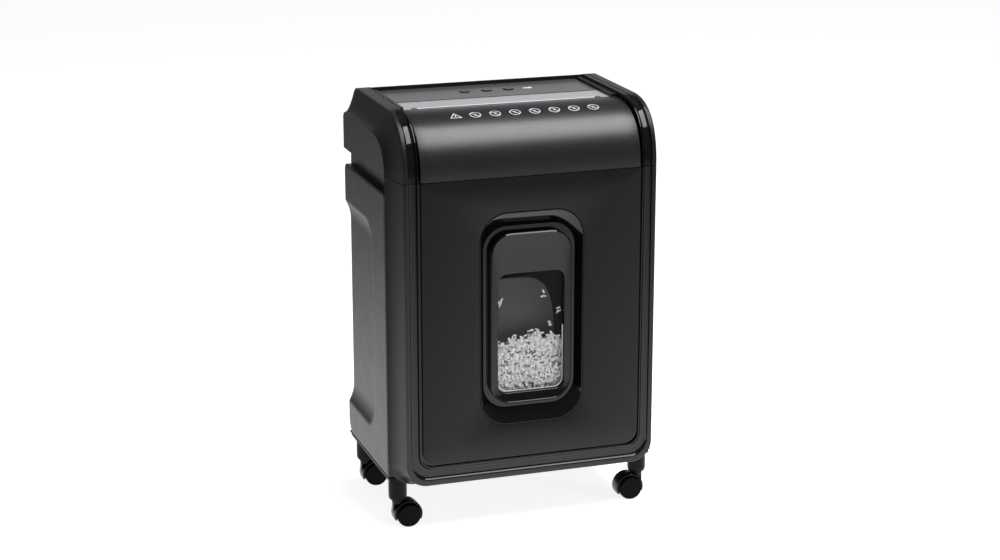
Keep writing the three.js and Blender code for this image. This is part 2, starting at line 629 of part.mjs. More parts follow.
function makeCabinet() {
  for (const [name, side] of [['side_panel_left', -1], ['side_panel_right', 1]]) {
    const span = (outer, inner) => [side * outer, side * inner].sort((a, b) => a - b);
    const lower = box(span(HALF, HALF - SIDE_THICKNESS), [CABINET_FRONT, REAR],
      [CABINET_BOTTOM, CABINET_TOP]);
    const neck = box(span(HALF - NECK_DEPTH, HALF - SIDE_THICKNESS - 2), [CABINET_FRONT, REAR],
      [CABINET_TOP - 10, HEAD_BOTTOM - GAP]);
    place(name, lower.add(neck).subtract(scoop(side)), MATERIALS.satin);
  }
  const backHalf = HALF - SIDE_THICKNESS - 2 - GAP;
  place('back_panel', box([-backHalf, backHalf], [REAR - 3, REAR], [CABINET_BOTTOM, HEAD_BOTTOM - GAP]),
    MATERIALS.satin);

  const deck = box([-backHalf, backHalf], [CABINET_FRONT, REAR - 3 - GAP], [DECK_BOTTOM, HEAD_BOTTOM - GAP]);
  const chute = box([-CHUTE.half, CHUTE.half], [CHUTE.front, CHUTE.rear], [DECK_BOTTOM - 5, HEAD_BOTTOM + 5]);
  place('cabinet_deck', deck.subtract(chute), MATERIALS.inner);

  let base = box([-HALF + 2.5, HALF - 2.5], [FRONT + FLARE_DEPTH + 1, REAR - 1.5],
    [BASE_BOTTOM, CABINET_BOTTOM - GAP]);
  for (const y of Object.values(POST_YS)) {
    for (const x of [-POST_X, POST_X]) {
      base = base.add(rod('z', POST_RADIUS, POST_BOTTOM, BASE_BOTTOM + 2, [x, y, 0]));
      base = base.subtract(rod('z', STEM_RADIUS + GAP, POST_BOTTOM - 1, BASE_BOTTOM - 2, [x, y, 0], 12));
    }
  }
  place('base_plate', base, MATERIALS.inner);
}

// ---- casters ----

// One hooded fork, with its stem at the origin and its wheels towards toward (+1 or -1 along X).
function casterHood(toward) {
  const wheelX = toward * WHEEL_TRAIL;
  const from = toward > 0 ? -0.12 * Math.PI : -0.2 * Math.PI;
  const to = toward > 0 ? 1.2 * Math.PI : 1.12 * Math.PI;
  const arc = new THREE.Shape();
  arc.absarc(wheelX, WHEEL_RADIUS, HOOD_RADIUS, from, to);
  arc.absarc(wheelX, WHEEL_RADIUS, WHEEL_RADIUS + 0.7, to, from, true);
  const web = new THREE.Shape();
  web.moveTo(wheelX, WHEEL_RADIUS);
  web.absarc(wheelX, WHEEL_RADIUS, HOOD_RADIUS - 1, from, to);
  const arms = WHEEL_INNER - GAP;
  const stem = [0, 0, 0];
  return unite(
    solid(alongY(arc, -10, 10, 1, HOOD_SEGMENTS)),
    solid(alongY(web, -arms, arms, 1, HOOD_SEGMENTS)),
    box([-8, 8], [-arms, arms], [WHEEL_RADIUS + 2, HOOD_TOP]),
    rod('z', 8, HOOD_TOP - 3, POST_BOTTOM - 0.5, stem),
    rod('z', STEM_RADIUS, HOOD_TOP - 1, BASE_BOTTOM - 3, stem, 10),
    rod('y', AXLE_RADIUS, -WHEEL_OUTER + 1.8, WHEEL_OUTER - 1.8, [wheelX, 0, WHEEL_RADIUS], 10),
  );
}

function casterWheel(side) {
  const bore = AXLE_RADIUS + GAP;
  const profile = [
    [0, WHEEL_OUTER - 1.2], [bore, WHEEL_OUTER - 1.2], [bore, WHEEL_INNER], [WHEEL_RADIUS, WHEEL_INNER],
    [WHEEL_RADIUS, WHEEL_OUTER - 1.3], [WHEEL_RADIUS - 1.3, WHEEL_OUTER], [0, WHEEL_OUTER],
  ].map(([radius, y]) => new THREE.Vector2(radius, side * y));
  return solid(new THREE.LatheGeometry(profile, 16));
}

function makeCasters() {
  for (const [row, y] of Object.entries(POST_YS)) {
    for (const [hand, x] of [['left', -POST_X], ['right', POST_X]]) {
      const toward = -Math.sign(x);
      place(`caster_hood_${row}_${hand}`, casterHood(toward), MATERIALS.caster, [x, y, 0]);
      for (const [end, side] of [['outer', -1], ['inner', 1]]) {
        place(`wheel_${row}_${hand}_${end}`, casterWheel(side), MATERIALS.tread,
          [x + toward * WHEEL_TRAIL, y, WHEEL_RADIUS]);
      }
    }
  }
}

makeHead();
makeControls();
makeMechanism();
makeElectrics();
makeBinFront();
makeBinTub();
makeCabinet();
makeCasters();

export default shredder;
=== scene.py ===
"""Looks of an upright paper shredder on casters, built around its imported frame. Metres, +Z up."""
import json
import math
import random

import bmesh
import bpy
import numpy as np
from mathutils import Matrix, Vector


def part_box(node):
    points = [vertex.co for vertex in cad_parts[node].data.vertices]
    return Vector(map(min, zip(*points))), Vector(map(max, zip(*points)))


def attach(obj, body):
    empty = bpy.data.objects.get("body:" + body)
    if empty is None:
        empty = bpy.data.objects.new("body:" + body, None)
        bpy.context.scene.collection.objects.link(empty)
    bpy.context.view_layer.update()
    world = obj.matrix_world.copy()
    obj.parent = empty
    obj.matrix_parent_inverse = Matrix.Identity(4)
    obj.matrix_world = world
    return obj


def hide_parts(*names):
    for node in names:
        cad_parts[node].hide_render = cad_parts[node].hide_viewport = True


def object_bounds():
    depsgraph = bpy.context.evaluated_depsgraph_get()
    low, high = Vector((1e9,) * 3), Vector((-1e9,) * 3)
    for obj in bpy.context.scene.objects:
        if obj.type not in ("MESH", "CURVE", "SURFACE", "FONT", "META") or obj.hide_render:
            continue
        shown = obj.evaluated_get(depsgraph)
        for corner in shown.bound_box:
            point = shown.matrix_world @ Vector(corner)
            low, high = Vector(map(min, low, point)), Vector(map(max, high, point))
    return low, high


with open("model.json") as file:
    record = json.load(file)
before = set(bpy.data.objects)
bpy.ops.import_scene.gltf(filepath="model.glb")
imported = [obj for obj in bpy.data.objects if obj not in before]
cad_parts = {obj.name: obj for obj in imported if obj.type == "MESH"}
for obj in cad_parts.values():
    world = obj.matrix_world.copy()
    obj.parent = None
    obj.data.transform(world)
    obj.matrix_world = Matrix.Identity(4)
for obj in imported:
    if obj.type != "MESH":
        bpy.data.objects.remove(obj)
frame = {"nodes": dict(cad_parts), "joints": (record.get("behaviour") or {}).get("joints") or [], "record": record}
cad_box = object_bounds()

MM = 0.001

# ---------------------------------------------------------------- places taken from the frame

LOW, HIGH = (Vector(corner) for corner in cad_box)
HALF = HIGH.x / MM
FRONT = LOW.y / MM
REAR = HIGH.y / MM
TOP = HIGH.z / MM


def span(node, axis):
    """Lowest and highest place of a CAD node along an axis, in millimetres."""
    low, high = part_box(node)
    return low[axis] / MM, high[axis] / MM


SEAM = span("head_shell", 2)[0]
FASCIA_TOP = span("bin_fascia", 2)[1]
FASCIA_LOW = span("bin_fascia", 2)[0]
FLARE_BACK = span("bin_fascia", 1)[1] - FRONT
PANEL_HALF = span("front_panel", 0)[1]
PANEL_LOW = span("front_panel", 2)[0]
BARREL_TOP = span("barrel_cover", 2)[1]
BARREL_END = span("barrel_cover", 1)[1]
DECK_HALF = span("control_panel", 0)[1] + 0.3
DECK_END = span("control_panel", 1)[1]
PANEL_TOP = span("control_panel", 2)[1]
BAND_TOP = span("slot_guide", 2)[1]
CABINET_LOW = span("back_panel", 2)[0]

BORDER_WIDTH = 19.0
SKIN = 3.3
INLAY_ACROSS = 15.0
ABOVE_HEAD = 560.0
PRINT_LIFT = 0.12
PRINT_BASE = 0.02
FACE_HALF = 166.0
FLARE = HALF - FACE_HALF
SHOULDER_DROP = 31.0
FASCIA_EDGE = 67.0
CORNER_RADIUS = 27.0
REAR_CORNER = 14.0
CHANNEL_END = 62.0


# ---------------------------------------------------------------- materials

def node_material(name, base, roughness, metallic=0.0, coat=0.0, specular=0.5):
    material = bpy.data.materials.new(name)
    material.use_nodes = True
    shader = material.node_tree.nodes["Principled BSDF"]
    shader.inputs["Base Color"].default_value = (*base, 1.0)
    shader.inputs["Roughness"].default_value = roughness
    shader.inputs["Metallic"].default_value = metallic
    shader.inputs["Coat Weight"].default_value = coat
    shader.inputs["Coat Roughness"].default_value = 0.04
    shader.inputs["Specular IOR Level"].default_value = specular
    return material, shader


def place_texture(material, kind, scale, detail=2.0):
    """A noise or Voronoi texture in the object's own coordinates, scale in cells per metre."""
    nodes = material.node_tree.nodes
    links = material.node_tree.links
    place = nodes.new("ShaderNodeTexCoord")
    texture = nodes.new(kind)
    texture.inputs["Scale"].default_value = scale
    texture.inputs["Detail"].default_value = detail
    links.new(place.outputs["Object"], texture.inputs["Vector"])
    return texture.outputs["Fac" if kind == "ShaderNodeTexNoise" else "Distance"]


def spread(material, value, low, high):
    """Maps a texture value of about 0.3 to 0.7 to the range low to high."""
    node = material.node_tree.nodes.new("ShaderNodeMapRange")
    node.inputs["From Min"].default_value = 0.3
    node.inputs["From Max"].default_value = 0.7
    node.inputs["To Min"].default_value = low
    node.inputs["To Max"].default_value = high
    material.node_tree.links.new(value, node.inputs["Value"])
    return node.outputs["Result"]


def tint(material, shader, value, dark, light):
    ramp = material.node_tree.nodes.new("ShaderNodeValToRGB")
    ramp.color_ramp.elements[0].position = 0.3
    ramp.color_ramp.elements[0].color = (*dark, 1.0)
    ramp.color_ramp.elements[1].position = 0.7
    ramp.color_ramp.elements[1].color = (*light, 1.0)
    material.node_tree.links.new(value, ramp.inputs["Fac"])
    material.node_tree.links.new(ramp.outputs["Color"], shader.inputs["Base Color"])


def roughen(material, shader, height, strength, distance):
    bump = material.node_tree.nodes.new("ShaderNodeBump")
    bump.inputs["Strength"].default_value = strength
    bump.inputs["Distance"].default_value = distance
    material.node_tree.links.new(height, bump.inputs["Height"])
    material.node_tree.links.new(bump.outputs["Normal"], shader.inputs["Normal"])


def moulded(name, grey, roughness, grain, depth, coat=0.0, spots=0.12, metallic=0.0, colour=None,
            specular=0.5):
    """Moulded plastic: fine grain in the surface and a slow drift in colour and gloss."""
    base = colour or (grey, grey, grey * 1.03)
    material, shader = node_material(name, base, roughness, metallic, coat, specular=specular)
    cloud = place_texture(material, "ShaderNodeTexNoise", 9.0, 3.0)
    tint(material, shader, cloud, tuple(c * (1 - spots) for c in base), tuple(c * (1 + spots) for c in base))
    smear = place_texture(material, "ShaderNodeTexNoise", 35.0, 4.0)
    rough = spread(material, smear, roughness * 0.96, roughness * 1.05)
    material.node_tree.links.new(rough, shader.inputs["Roughness"])
    speck = place_texture(material, "ShaderNodeTexNoise", grain, 3.0)
    roughen(material, shader, speck, depth, 0.0003)
    return material


MATERIALS = {
    "satin_body": moulded("satin_body", 0.009, 0.38, 1500, 0.10, spots=0.05, specular=0.25),
    "textured_black": moulded("textured_black", 0.008, 0.36, 1100, 0.24, spots=0.06, specular=0.42),
    "gloss_black": moulded("gloss_black", 0.003, 0.07, 60, 0.01, specular=0.36),
    "inner_black": moulded("inner_black", 0.003, 0.45, 900, 0.12, specular=0.1),
    # A light grey insert behind the slot; part of its light base colour is painted reflection of the paper and
    # backdrop on the sloped strip.
    "slot_band": moulded("slot_band", 0.30, 0.38, 1200, 0.08, spots=0.03),
    # The control plate's dark grey base colour is painted reflection: the plate is glossy black, and the grey
    # stands for the bright surroundings it reflects, with its specular turned down.
    "panel_grey": moulded("panel_grey", 0.06, 0.26, 700, 0.03, spots=0.03, specular=0.15),
    "button_black": moulded("button_black", 0.02, 0.25, 900, 0.04),
    "indicator": moulded("indicator", 0.4, 0.15, 300, 0.02, coat=0.5, colour=(0.3, 0.55, 0.42)),
    "zinc_steel": moulded("zinc_steel", 0.35, 0.35, 500, 0.10, metallic=1.0),
    "cutter_steel": moulded("cutter_steel", 0.12, 0.3, 700, 0.15, metallic=1.0),
    "nylon": moulded("nylon", 0.6, 0.45, 500, 0.05, colour=(0.66, 0.63, 0.54)),
    "board_green": moulded("board_green", 0.1, 0.4, 300, 0.05, colour=(0.02, 0.12, 0.05)),
    "caster_black": moulded("caster_black", 0.003, 0.22, 900, 0.06, specular=0.13),
    "wheel_black": moulded("wheel_black", 0.0015, 0.35, 1200, 0.10, specular=0.05),
}


def window_material():
    material, shader = node_material("window_clear", (0.06, 0.06, 0.06), 0.03)
    shader.inputs["IOR"].default_value = 1.4
    shader.inputs["Alpha"].default_value = 0.08
    haze = place_texture(material, "ShaderNodeTexNoise", 60.0, 3.0)
    rough = spread(material, haze, 0.02, 0.06)
    material.node_tree.links.new(rough, shader.inputs["Roughness"])
    return material


def paper_material(name, dark, light):
    material, shader = node_material(name, (light, light, light), 0.8)
    patch = place_texture(material, "ShaderNodeTexNoise", 260.0, 2.0)
    tint(material, shader, patch, (dark, dark, dark), (light, light, light * 0.99))
    fibre = place_texture(material, "ShaderNodeTexNoise", 2500.0, 4.0)
    roughen(material, shader, fibre, 0.2, 0.0002)
    return material


MATERIALS["window_clear"] = window_material()
PAPER = paper_material("shredded_paper", 0.52, 0.98)
# A darker paper for the heap behind the strips: painted shade, so the gaps between the strips read dark.
PAPER_PAINTED_SHADE = paper_material("paper_painted_shade", 0.10, 0.35)
# Light grey for the pane's edge bead: a painted highlight standing for the bright line of light along the clear
# pane's right and lower edges.
PANE_EDGE_HIGHLIGHT = moulded("pane_edge_highlight_grey", 0.62, 0.10, 300, 0.02)
# Dark grey for the plate behind the window: painted light, standing for the lit part of the bin's back wall.
PAINTED_LIT_WALL = moulded("lit_wall_grey", 0.055, 0.45, 900, 0.05)
BARREL = moulded("barrel_black", 0.006, 0.36, 620, 0.5, spots=0.05, specular=0.58)
PANEL = moulded("panel_black", 0.0045, 0.44, 1100, 0.26, spots=0.05, specular=0.24)
# White for the printed marks on the barrel, and also for the slot's rear lip, where it is a painted highlight.
PRINT_AND_HIGHLIGHT = moulded("print_and_highlight_white", 0.7, 0.5, 900, 0.02, spots=0.02)


# ---------------------------------------------------------------- mesh helpers

def loft(rings, closed=False, caps=True):
    """Joins rings of equally many points; closed joins the last ring to the first one."""
    count = len(rings[0])
    points = [point for ring in rings for point in ring]
    faces = []
    last = len(rings) if closed else len(rings) - 1
    for i in range(last):
        a = i * count
        b = (i + 1) % len(rings) * count
        for j in range(count):
            k = (j + 1) % count
            faces.append((a + j, a + k, b + k, b + j))
    if caps and not closed:
        faces.append(tuple(range(count)))
        faces.append(tuple(range((len(rings) - 1) * count, len(rings) * count)))
    return points, faces


def joined(*parts):
    points = []
    faces = []
    for some_points, some_faces in parts:
        shift = len(points)
        points += list(some_points)
        faces += [tuple(index + shift for index in face) for face in some_faces]
    return points, faces


def piece(name, shape, slot, body="root", replaces=(), material=None, sharp=32):
    """Makes one object from points in millimetres and faces, riding on a body."""
    points, faces = shape
    mesh = bpy.data.meshes.new(name)
    mesh.from_pydata([tuple(c * MM for c in point) for point in points], [], faces)
    build = bmesh.new()
    build.from_mesh(mesh)
    bmesh.ops.remove_doubles(build, verts=build.verts, dist=2e-6)
    bmesh.ops.dissolve_degenerate(build, edges=build.edges, dist=1e-6)
    bmesh.ops.recalc_face_normals(build, faces=build.faces)
    build.to_mesh(mesh)
    build.free()
    mesh.shade_smooth()
    mesh.set_sharp_from_angle(angle=math.radians(sharp))
    thing = bpy.data.objects.new(name, mesh)
    bpy.context.scene.collection.objects.link(thing)
    mesh.materials.append(material or MATERIALS[slot])
    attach(thing, body)
    if replaces:
        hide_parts(*replaces)
    return thing


def outline(half, low, high, radius, top_radius=None, steps=10):
    """Points (x, z) of a rounded rectangle, from its low right corner anticlockwise."""
    top_radius = radius if top_radius is None else top_radius
    corners = ((1, low + radius, radius, -90), (1, high - top_radius, top_radius, 0),
               (-1, high - top_radius, top_radius, 90), (-1, low + radius, radius, 180))
    points = []
    for side, middle, r, start in corners:
        for i in range(steps + 1):
            angle = math.radians(start + 90 * i / steps)
            points.append((side * (half - r) + r * math.cos(angle), middle + r * math.sin(angle)))
    return points


def framed(stations, steps=10, top_radius=None):
    """Rings of rounded rectangles, each station being (half, low, high, radius, y)."""
    return [[(x, y, z) for x, z in outline(half, low, high, radius, top_radius, steps)]
            for half, low, high, radius, y in stations]


def lathe(profile, axis, centre, segments=48):
    """Turns (radius, height) points about an axis through centre."""
    rings = []
    for radius, height in profile:
        ring = []
        for i in range(segments):
            angle = 2 * math.pi * i / segments
            across = (radius * math.cos(angle), radius * math.sin(angle))
            turned = {"x": (height, *across), "y": (across[1], height, across[0]), "z": (*across, height)}
            point = turned[axis]
            ring.append(tuple(c + offset for c, offset in zip(point, centre)))
        rings.append(ring)
    return loft(rings)


def arc(cx, cy, radius, start, end, steps):
    angles = np.radians(np.linspace(start, end, steps + 1))
    return [(cx + radius * math.cos(a), cy + radius * math.sin(a)) for a in angles]


def block(xs, ys, zs, bevel=0.6):
    """A box whose edges are bevelled."""
    def ring(z, inset):
        r = max(bevel - inset, 0.05)
        x0, x1, y0, y1 = xs[0] + inset, xs[1] - inset, ys[0] + inset, ys[1] - inset
        return [(x, y, z) for x, y in (
            (x1, y0 + r), (x1, y1 - r), (x1 - r, y1), (x0 + r, y1),
            (x0, y1 - r), (x0, y0 + r), (x0 + r, y0), (x1 - r, y0))]
    return loft([ring(zs[0], bevel), ring(zs[0] + bevel, 0), ring(zs[1] - bevel, 0), ring(zs[1], bevel)])


# ---------------------------------------------------------------- the border that frames the front

def flare_back(u):
    return 1 - (1 - u) ** 2


def border():
    """(across, depth) from the flat face's outer edge inwards: edge, land, channel, lip, drop."""
    points = [(1.2 - 1.2 * math.cos(a), 1.2 - 1.2 * math.sin(a)) for a in np.radians([0, 30, 60, 90])]
    points.append((5.4, 0.0))
    for t in np.linspace(0, 1, 13):
        points.append((6 + 10.8 * t, 0.25 + 2.9 * (1 - abs(2 * t - 1) ** 6)))
    points += [(18 - math.cos(a), 0.9 - 0.9 * math.sin(a)) for a in np.radians([20, 55, 90, 125, 160, 180])]
    points.append((BORDER_WIDTH, SKIN))
    return points


BORDER = border()
FLARE_US = [1, 0.9, 0.78, 0.64, 0.5, 0.36, 0.24, 0.13, 0.05]


def u_path(half, low, radius, high, steps=14):
    """An open U: down the left side, round the two low corners and up the right side."""
    points = [(-half, high)]
    points += arc(-half + radius, low + radius, radius, 180, 270, steps)
    points += arc(half - radius, low + radius, radius, 270, 360, steps)
    points.append((half, high))
    return points


def outside_face(x, z):
    """How far a point lies outside the flat face's U-shaped edge."""
    across = abs(x) - (FACE_HALF - CORNER_RADIUS)
    below = FASCIA_EDGE + CORNER_RADIUS - z
    if across > 0 and below > 0:
        return math.hypot(across, below) - CORNER_RADIUS
    return max(across, below) - CORNER_RADIUS


def make_fascia():
    drop = (PANEL_LOW - 2.6 - FASCIA_EDGE) / BORDER_WIDTH
    stations = []
    for u in FLARE_US:
        stations.append((FACE_HALF + FLARE * u, FASCIA_EDGE - (FASCIA_EDGE - FASCIA_LOW) * u,
                         CORNER_RADIUS + 8 * u, max(FLARE_BACK * flare_back(u), 1.6)))
    for across, depth in BORDER:
        stations.append((FACE_HALF - across, FASCIA_EDGE + across * drop,
                         CORNER_RADIUS - across * 0.5, depth))
    stations += [(138, 101, 13, SKIN), (138, 101, 13, 9), (163, 71, 24, 12), (176, 61, 31, FLARE_BACK)]
    paths = [u_path(half, low, radius, FASCIA_TOP) for half, low, radius, _ in stations]
    rings = []
    for k in range(len(paths[0])):
        rings.append([(path[k][0], FRONT + station[3], path[k][1]) for path, station in zip(paths, stations)])
    inner = framed([(69.2, 137.3, 416.2, 37.5, FRONT + y) for y in (3.4, 8.8)])
    outer = framed([(138.3, 100.7, FASCIA_TOP - 0.2, 13, FRONT + y) for y in (3.4, 8.8)], top_radius=1)
    wall = loft([inner[0], inner[1], outer[1], outer[0]], closed=True)
    fascia = piece("bin_fascia_frame", joined(loft(rings), wall), "gloss_black", "bin", ["bin_fascia"])
    fascia.data.materials.append(MATERIALS["satin_body"])
    for face in fascia.data.polygons:
        x, _, z = (c / MM for c in face.center)
        if outside_face(x, z) > 0.2:
            face.material_index = 1


def make_front_panel():
    def ring(inset, depth):
        return (PANEL_HALF - inset, PANEL_LOW + inset, FASCIA_TOP - inset, 17 - inset, FRONT + depth)

    def hole(grow, depth):
        return (69 + grow, 137.5 - grow, 416 + grow, 37.5 + grow, FRONT + depth)

    outer = [ring(0, 3), ring(0, 1.1), ring(0.35, 0.35), ring(1.1, 0)]
    inner = [hole(0.6, 0), hole(0.15, 0.2), hole(0, 0.7), hole(0, 3)]
    rings = framed(outer, 12, top_radius=1.2) + framed(inner, 12)
    piece("front_panel_skin", loft(rings, closed=True), "textured_black", "bin", ["front_panel"],
          material=PANEL)


def make_window():
    ring = (68.5, 138, 415.5, 37)
    floor = (60.8, 158, 395.5, 31)

    def between(t, depth):
        return tuple(a + (b - a) * t for a, b in zip(ring, floor)) + (FRONT + depth,)

    def grown(base, by, depth):
        half, low, high, radius = base
        return (half + by, low - by, high + by, radius + by, FRONT + depth)

    insert = (53.5, 165, 388, 27)
    slope = [between(0.06 + 0.94 * t, 0.2 + 11.8 * t) for t in (0.02, 0.05, 0.5, 0.95, 1)]
    stations = [grown(ring, 0, 14), grown(ring, 0, 1.0), grown(ring, -0.25, 0.35), grown(ring, -0.9, 0.2)]
    stations += slope + [grown(insert, 0.5, 12), grown(insert, 0.5, 14)]
    piece("window_ring_dish", loft(framed(stations, 12), closed=True), "gloss_black", "bin", ["window_ring"])

    window = (44, 179.5, 335.5, 12)
    outside = [grown(insert, 0, 14.8), grown(insert, 0, 2.1), grown(insert, -1.35, 0.7),
               grown(insert, -1.8, 0.7), grown(insert, -2.3, 1.5), grown(insert, -2.7, 1.7)]
    inside = [grown(window, 1.9, 1.7), grown(window, 1.0, 2.0), grown(window, 0.3, 2.8), grown(window, 0, 4),
              grown(window, 0, 7), grown(window, 3.3, 7), grown(window, 3.3, 14.8)]
    piece("window_surround", loft(framed(outside + inside, 12), closed=True), "gloss_black", "bin",
          ["window_insert"])

    lens = [grown(window, 2.4, 7.3), grown(window, 3, 7.9), grown(window, 3, 9.9), grown(window, 2.4, 10.3)]
    piece("window_pane", loft(framed(lens, 12)), "window_clear", "bin", ["window_lens"])

    # A light grey bead along the pane's right and lower edges: a painted highlight of the clear lens edge.
    half, low, _, radius = window
    edge = [(half - 0.9, 262)] + [(x - 0.9 * (x > 0), z + 0.9) for x, z in
                                  arc(half - radius, low + radius, radius, 0, -90, 10)]
    edge += [(x, z + 0.9) for x, z in arc(-half + radius, low + radius, radius, -90, -150, 8)]
    rings = []
    for x, z in edge:
        out = Vector((x, 0, z - 250)).normalized()
        rings.append([(x + 0.8 * out.x * math.cos(a), FRONT + 6.1 + 0.8 * math.sin(a),
                       z + 0.8 * out.z * math.cos(a)) for a in np.radians(range(0, 360, 45))])
    piece("window_pane_edge", loft(rings), "window_clear", "bin", material=PANE_EDGE_HIGHLIGHT)

    # A dark grey plate with a curved top behind the shreds is painted light: it stands for the lit part of the
    # bin's back wall, and the black above and right of it for shade.
    shade = [(-47, 190), (43, 190), (41, 262), (38.5, 281), (34.5, 297), (28, 309), (18, 317),
             (4, 320.5), (-47, 321.5)]
    plate = loft([[(x, FRONT + y, z) for x, z in shade] for y in (33, 34)])
    piece("window_lit_wall_patch", plate, "inner_black", "bin", material=PAINTED_LIT_WALL)


# ---------------------------------------------------------------- head

def front_curve(top, steps=26):
    a, b, c, d = (Vector(p) for p in (
        (FRONT, SEAM), (FRONT, top - 27), (FRONT + 26, top), (FRONT + 80, top)))
    points = []
    for t in np.linspace(0, 1, steps + 1):
        s = 1 - t
        points.append(a * s ** 3 + b * 3 * s * s * t + c * 3 * s * t * t + d * t ** 3)
    return points


def head_side():
    """The head's side view as points (y, z) and their inward directions."""
    points = front_curve(TOP)
    points += [Vector((y, TOP)) for y in np.linspace(FRONT + 83, REAR - REAR_CORNER, 28)]
    points += [Vector(p) for p in arc(REAR - REAR_CORNER, TOP - REAR_CORNER, REAR_CORNER, 80, 0, 8)]
    points.append(Vector((REAR, SEAM)))
    inward = []
    for i, point in enumerate(points):
        along = points[min(i + 1, len(points) - 1)] - points[max(i - 1, 0)]
        inward.append(Vector((along.y, -along.x)).normalized())
    inward[0] = Vector((1, 0))
    inward[-1] = Vector((-1, 0))
    return points, inward


def channel_share(y):
    """1 where the glossy channel runs, easing to 0 where it ends on the deck."""
    t = min(max((FRONT + CHANNEL_END - y) / 7, 0), 1)
    return t * t * (3 - 2 * t)


def make_cheek(side):
    points, inward = head_side()
    rings = []
    for u in FLARE_US:
        back = flare_back(u)
        ring = []
        for p in points:
            y = REAR - (REAR - p.x) * (1 - back * FLARE_BACK / (REAR - FRONT))
            z = SEAM + (p.y - SEAM) * (1 - back * SHOULDER_DROP / (TOP - SEAM))
            ring.append((side * (FACE_HALF + FLARE * u), y, z))
        rings.append(ring)
    for across, depth in BORDER:
        ring = []
        for p, n in zip(points, inward):
            share = channel_share(p.x)
            on_deck = 1.3 if 12 < across < 18 and p.x < DECK_END - 8 else 0
            rim = depth if across < 2 or across >= BORDER_WIDTH else 0
            sunk = depth * share + (rim + on_deck) * (1 - share)
            q = p + n * sunk
            ring.append((side * (FACE_HALF - across), q.x, max(q.y, SEAM)))
        rings.append(ring)
    inner_wall = [(side * (FACE_HALF - BORDER_WIDTH), max(y, BARREL_END + 0.3), z) for _, y, z in rings[-1]]
    rings.append(inner_wall)
    rings.append([(side * DECK_HALF, y, z) for _, y, z in inner_wall])
    return loft(rings)


def rear_rim():
    corner = arc(REAR - REAR_CORNER, TOP - REAR_CORNER, REAR_CORNER, 66, 0, 8)
    loop = [(DECK_END + 0.3, TOP - 1.6), *corner, (REAR, SEAM), (REAR - 3, SEAM), (REAR - 3, PANEL_TOP - 7),
            (DECK_END + 0.3, PANEL_TOP - 7)]
    reach = FACE_HALF - BORDER_WIDTH
    return loft([[(x, y, z) for y, z in loop] for x in (-reach, reach)])


def make_head_casing():
    shape = joined(make_cheek(-1), make_cheek(1))
    casing = piece("head_casing", shape, "satin_body",
                   replaces=["head_shell", "channel_trim_left", "channel_trim_right"])
    casing.data.materials.append(MATERIALS["gloss_black"])
    land_end = FACE_HALF - 5.6
    border_end = FACE_HALF - BORDER_WIDTH - 0.2
    for face in casing.data.polygons:
        x, y, _ = (c / MM for c in face.center)
        if border_end < abs(x) < land_end and y < FRONT + CHANNEL_END - 1:
            face.material_index = 1


def make_rear_rim():
    rim = piece("rear_rim", rear_rim(), "satin_body")
    x_low, x_high = span("cord_inlet", 0)
    z_low, z_high = span("cord_inlet", 2)
    radius = (x_high - x_low) / 2 + 0.3
    centre = ((x_low + x_high) / 2, REAR, (z_low + z_high) / 2)
    cut(rim, [lathe([(radius, -6), (radius, 2)], "y", centre)])


def make_rim_ribs():
    """A long inlay with two lengthwise ridges, let into each rim beside the deck."""
    start = FRONT + CHANNEL_END + 3
    end = DECK_END - 6
    profile = [(-2.6, -1.6), (-2.6, -0.2), (-2.0, 0), (-1.3, 0), (-0.9, -0.6), (-0.3, -0.6), (0.0, 0),
               (0.7, 0), (1.1, -0.6), (1.6, -0.6), (2.0, 0), (2.6, -0.2), (2.6, -1.6)]
    for hand, side in (("left", -1), ("right", 1)):
        rings = []
        curve = front_curve(TOP, 80)
        for y in np.linspace(start, end, 60):
            reach = min(y - start, end - y) / 2.6
            width = math.sqrt(max(1 - (1 - min(reach, 1)) ** 2, 0.02))
            top = float(np.interp(y, [p.x for p in curve], [p.y for p in curve]))
            middle = side * (FACE_HALF - INLAY_ACROSS)
            rings.append([(middle + x * width, y, top - 0.15 + z) for x, z in profile])
        piece(f"rim_ribs_{hand}", loft(rings), "button_black", sharp=20)


def make_barrel():
    top = front_curve(BARREL_TOP)
    normals = []
    for i in range(len(top)):
        along = top[min(i + 1, len(top) - 1)] - top[max(i - 1, 0)]
        normals.append(Vector((along.y, -along.x)).normalized())

    def section(x, inset, end, dip=0.0):
        outer = [p + n * inset for p, n in zip(top, normals)]
        outer[0].y = SEAM + inset
        roll = [Vector((end - 5, BARREL_TOP - inset - 0.15 * dip)),
                Vector((end - 2.5, BARREL_TOP - inset - 0.5 * dip)),
                Vector((end - 0.8, BARREL_TOP - 0.7 - 0.85 * dip)),
                Vector((end, BARREL_TOP - 1.8 - dip))]
        inner = [Vector((end, BARREL_TOP - 3 - dip))]
        inner += [p + n * 3 for p, n in zip(reversed(top), reversed(normals))]
        inner[-1].y = SEAM + inset
        return [(x, p.x, p.y) for p in outer + roll + inner]

    sections = []
    for x, inset in ((-1.0, 0.7), (-0.998, 0.25), (-0.993, 0)):
        sections.append((x * PANEL_HALF, inset, BARREL_END))
    ends = [-0.9, -0.845, -0.835, -0.8, -0.4, 0, 0.4, 0.8, 0.835, 0.845, 0.9]
    for x in ends:
        beside_slot = abs(x) > 0.84
        end, dip = (BARREL_END, 0) if beside_slot else (BARREL_END - 2, 2.4)
        sections.append((x * PANEL_HALF, 0, end, dip))
    for x, inset in ((0.993, 0), (0.998, 0.25), (1.0, 0.7)):
        sections.append((x * PANEL_HALF, inset, BARREL_END))
    rings = [section(*s) for s in sections]
    piece("barrel_skin", loft(rings), "textured_black", replaces=["barrel_cover"], material=BARREL)


# ---------------------------------------------------------------- deck: slot, panel, buttons, marks

